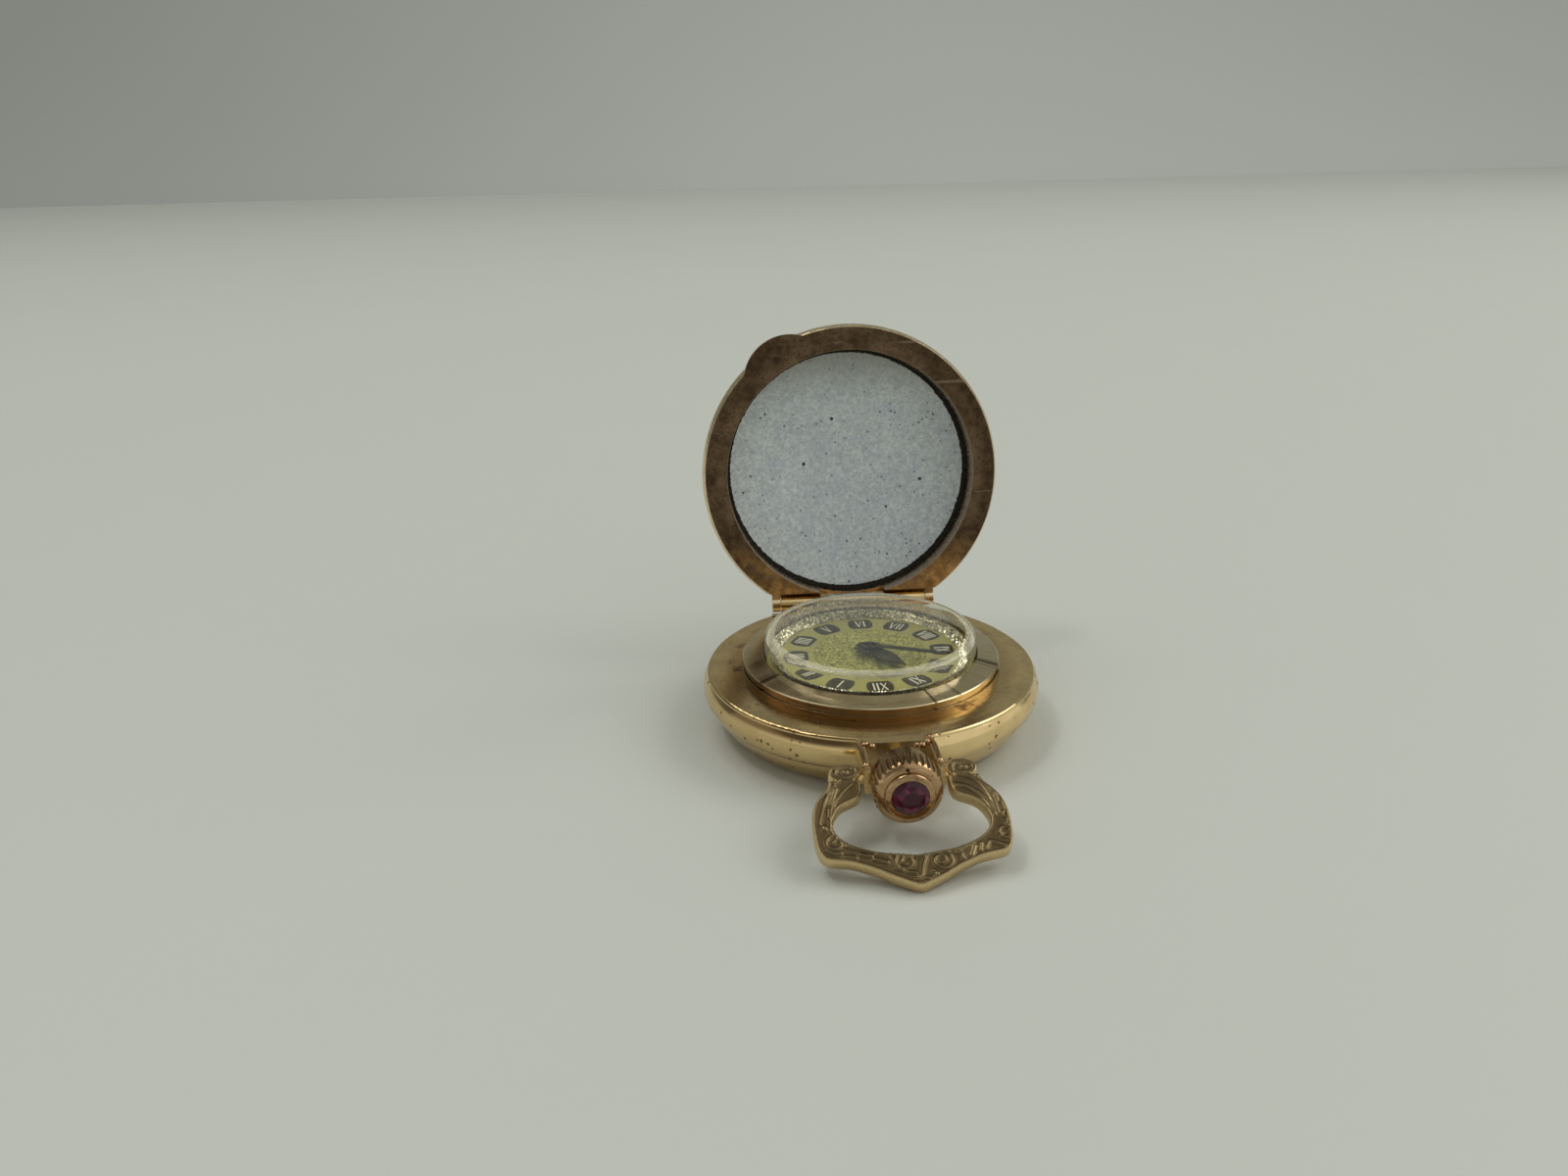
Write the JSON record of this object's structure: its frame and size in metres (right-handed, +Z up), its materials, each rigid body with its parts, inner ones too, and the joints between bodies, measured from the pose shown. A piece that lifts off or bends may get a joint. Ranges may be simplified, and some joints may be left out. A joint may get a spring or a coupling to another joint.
{
  "type": "pendant watch",
  "caption": "Small round pendant watch with a hinged enamelled lid, a scrolled bow, a stone-set crown and a hand-wound movement.",
  "frame": {"origin": "centre of the flat case back, on the surface that the watch lies on", "axes": "+Z up through the dial, -Y towards 12 o'clock, the crown and the bow, +Y towards the lid's hinge"},
  "size_m": [0.03, 0.0472, 0.0331],
  "materials": {
    "polished_gold": "polished gold plating with small pits",
    "aged_gold": "tarnished gold plating",
    "bezel_gold": "turned and polished rose-gold plating",
    "cast_gold": "cast and gilt relief",
    "crown_gold": "polished gold plating",
    "steel": "polished steel",
    "blued_steel": "blued steel",
    "movement_brass": "brushed gilt brass",
    "wheel_brass": "polished brass",
    "acrylic": "clear acrylic",
    "reflector": "knurled gilt ring",
    "dial_gilt": "pale gilt dial with dark printed numerals",
    "dark_hands": "dark brown lacquer",
    "enamel": "speckled pale blue-grey counter-enamel",
    "dark_seat": "dark oxidised seat",
    "ruby": "dark red cut stone",
    "seal_rubber": "black seal"
  },
  "bodies": {
    "case": {"case_body": "polished_gold", "case_back": "polished_gold", "back_gasket": "seal_rubber", "bezel": "bezel_gold", "crystal": "acrylic", "reflector_ring": "reflector", "pendant_tube": "polished_gold", "pendant_collar": "cast_gold", "bow_pins": "cast_gold", "case_hinge_knuckles": "polished_gold", "hinge_pin": "steel", "mainplate": "movement_brass", "movement_ring": "movement_brass", "barrel_bridge": "movement_brass", "train_bridge": "movement_brass", "pallet_bridge": "movement_brass", "balance_cock": "movement_brass", "bridge_screws": "steel", "jewels": "ruby", "crown_wheel_screw": "steel", "click_spring": "steel", "hairspring": "blued_steel", "motion_studs": "steel", "setting_lever_spring": "steel", "dial": "dial_gilt"},
    "lid": {"lid_shell": "aged_gold", "lid_hinge_knuckles": "aged_gold", "lid_enamel": "enamel", "lid_retainer": "dark_seat"},
    "bow": {"bow": "cast_gold"},
    "crown_slide": {"crown_seal": "seal_rubber"},
    "crown": {"crown_shell": "crown_gold", "stone_setting": "crown_gold", "crown_stone": "ruby", "winding_stem": "steel"},
    "winding_pinion": {"winding_pinion": "steel"},
    "clutch": {"clutch_wheel": "steel"},
    "crown_wheel": {"crown_wheel": "steel"},
    "ratchet": {"ratchet_wheel": "steel", "ratchet_screw": "steel", "barrel_arbor": "steel"},
    "click": {"click": "steel"},
    "barrel": {"barrel_drum": "wheel_brass", "barrel_cover": "wheel_brass", "mainspring": "blued_steel"},
    "centre_wheel": {"centre_wheel": "wheel_brass"},
    "third_wheel": {"third_wheel": "wheel_brass"},
    "fourth_wheel": {"fourth_wheel": "wheel_brass"},
    "escape_wheel": {"escape_wheel": "wheel_brass"},
    "pallet_fork": {"pallet_fork": "steel"},
    "balance": {"balance_wheel": "wheel_brass"},
    "regulator": {"regulator": "steel"},
    "minute_hand": {"minute_hand": "dark_hands", "cannon_pinion": "wheel_brass"},
    "hour_hand": {"hour_hand": "dark_hands", "hour_wheel": "wheel_brass"},
    "minute_wheel": {"minute_wheel": "wheel_brass"},
    "setting_wheel": {"setting_wheel": "wheel_brass"},
    "setting_lever": {"setting_lever": "steel"},
    "yoke": {"yoke": "steel"}
  },
  "joints": [
    {"name": "lid_hinge", "type": "hinge", "parent": "case", "child": "lid", "pos_m": [0, 0.01262, 0.00643], "axis": [1, 0, 0], "range_deg": [0, 98.7]},
    {"name": "bow_swing", "type": "hinge", "parent": "case", "child": "bow", "pos_m": [0, -0.0186, 0.00435], "axis": [-1, 0, 0], "range_deg": [-65, 130]},
    {"name": "crown_pull", "type": "slide", "parent": "case", "child": "crown_slide", "axis": [0, -1, 0], "range_m": [0, 0.0008]},
    {"name": "crown_turn", "type": "hinge", "parent": "crown_slide", "child": "crown", "pos_m": [0, -0.0185, 0.0046], "axis": [0, 1, 0], "continuous": true},
    {"name": "winding_pinion_turn", "type": "hinge", "parent": "case", "child": "winding_pinion", "pos_m": [0, -0.00634, 0.0046], "axis": [0, 1, 0], "continuous": true},
    {"name": "clutch_shift", "type": "slide", "parent": "crown", "child": "clutch", "axis": [0, 1, 0], "range_m": [0, 0.0013]},
    {"name": "setting_lever_swing", "type": "hinge", "parent": "case", "child": "setting_lever", "pos_m": [0.0024, -0.00745, 0.00534], "axis": [0, 0, 1], "range_deg": [0, 18.93]},
    {"name": "yoke_swing", "type": "hinge", "parent": "case", "child": "yoke", "pos_m": [-0.0026, -0.0055, 0.00534], "axis": [0, 0, 1], "range_deg": [0, 10.99]},
    {"name": "crown_wheel_turn", "type": "hinge", "parent": "case", "child": "crown_wheel", "pos_m": [0, -0.00455, 0.0032], "axis": [0, 0, 1], "continuous": true},
    {"name": "ratchet_turn", "type": "hinge", "parent": "case", "child": "ratchet", "pos_m": [-0.0035, -0.00215, 0.0032], "axis": [0, 0, 1], "continuous": true},
    {"name": "click_swing", "type": "hinge", "parent": "case", "child": "click", "pos_m": [-0.00655, -0.00045, 0.003], "axis": [0, 0, 1], "range_deg": [0, 10]},
    {"name": "barrel_turn", "type": "hinge", "parent": "case", "child": "barrel", "pos_m": [-0.0035, -0.00215, 0.0041], "axis": [0, 0, 1], "continuous": true},
    {"name": "centre_wheel_turn", "type": "hinge", "parent": "case", "child": "centre_wheel", "pos_m": [0, 0, 0.0041], "axis": [0, 0, 1], "continuous": true},
    {"name": "third_wheel_turn", "type": "hinge", "parent": "case", "child": "third_wheel", "pos_m": [0.00057, 0.00321, 0.0041], "axis": [0, 0, 1], "continuous": true},
    {"name": "fourth_wheel_turn", "type": "hinge", "parent": "case", "child": "fourth_wheel", "pos_m": [0.00303, 0.00255, 0.0041], "axis": [0, 0, 1], "continuous": true},
    {"name": "escape_wheel_turn", "type": "hinge", "parent": "case", "child": "escape_wheel", "pos_m": [0.00413, 0.00065, 0.0041], "axis": [0, 0, 1], "continuous": true},
    {"name": "pallet_fork_rock", "type": "hinge", "parent": "case", "child": "pallet_fork", "pos_m": [0.0043, -0.00081, 0.0041], "axis": [0, 0, 1], "range_deg": [-5, 5]},
    {"name": "balance_swing", "type": "hinge", "parent": "case", "child": "balance", "pos_m": [0.0046, -0.0034, 0.0041], "axis": [0, 0, 1], "range_deg": [-135, 135]},
    {"name": "regulator_shift", "type": "hinge", "parent": "case", "child": "regulator", "pos_m": [0.0046, -0.0034, 0.00275], "axis": [0, 0, 1], "range_deg": [-20, 20]},
    {"name": "minute_hand_turn", "type": "hinge", "parent": "case", "child": "minute_hand", "pos_m": [0, 0, 0.0053], "axis": [0, 0, -1], "continuous": true},
    {"name": "hour_hand_turn", "type": "hinge", "parent": "case", "child": "hour_hand", "pos_m": [0, 0, 0.0053], "axis": [0, 0, -1], "continuous": true},
    {"name": "minute_wheel_turn", "type": "hinge", "parent": "case", "child": "minute_wheel", "pos_m": [0, -0.00168, 0.0053], "axis": [0, 0, -1], "continuous": true},
    {"name": "setting_wheel_turn", "type": "hinge", "parent": "case", "child": "setting_wheel", "pos_m": [0, -0.00399, 0.0053], "axis": [0, 0, -1], "continuous": true}
  ],
  "couplings": [
    {"joint": "winding_pinion_turn", "follows": "crown_turn", "ratio": 1},
    {"joint": "crown_wheel_turn", "follows": "crown_turn", "ratio": -0.6},
    {"joint": "ratchet_turn", "follows": "crown_turn", "ratio": 0.48649},
    {"joint": "clutch_shift", "follows": "crown_pull", "ratio": 1.625},
    {"joint": "setting_lever_swing", "follows": "crown_pull", "rad_per_m": 412.85},
    {"joint": "yoke_swing", "follows": "crown_pull", "rad_per_m": 239.63},
    {"joint": "fourth_wheel_turn", "follows": "escape_wheel_turn", "ratio": -0.1},
    {"joint": "third_wheel_turn", "follows": "escape_wheel_turn", "ratio": 0.013333},
    {"joint": "centre_wheel_turn", "follows": "escape_wheel_turn", "ratio": -0.0016667},
    {"joint": "barrel_turn", "follows": "escape_wheel_turn", "ratio": 0.00027778},
    {"joint": "hour_hand_turn", "follows": "minute_hand_turn", "ratio": 0.083333},
    {"joint": "minute_wheel_turn", "follows": "minute_hand_turn", "ratio": -0.33333},
    {"joint": "setting_wheel_turn", "follows": "minute_hand_turn", "ratio": 0.4}
  ]
}
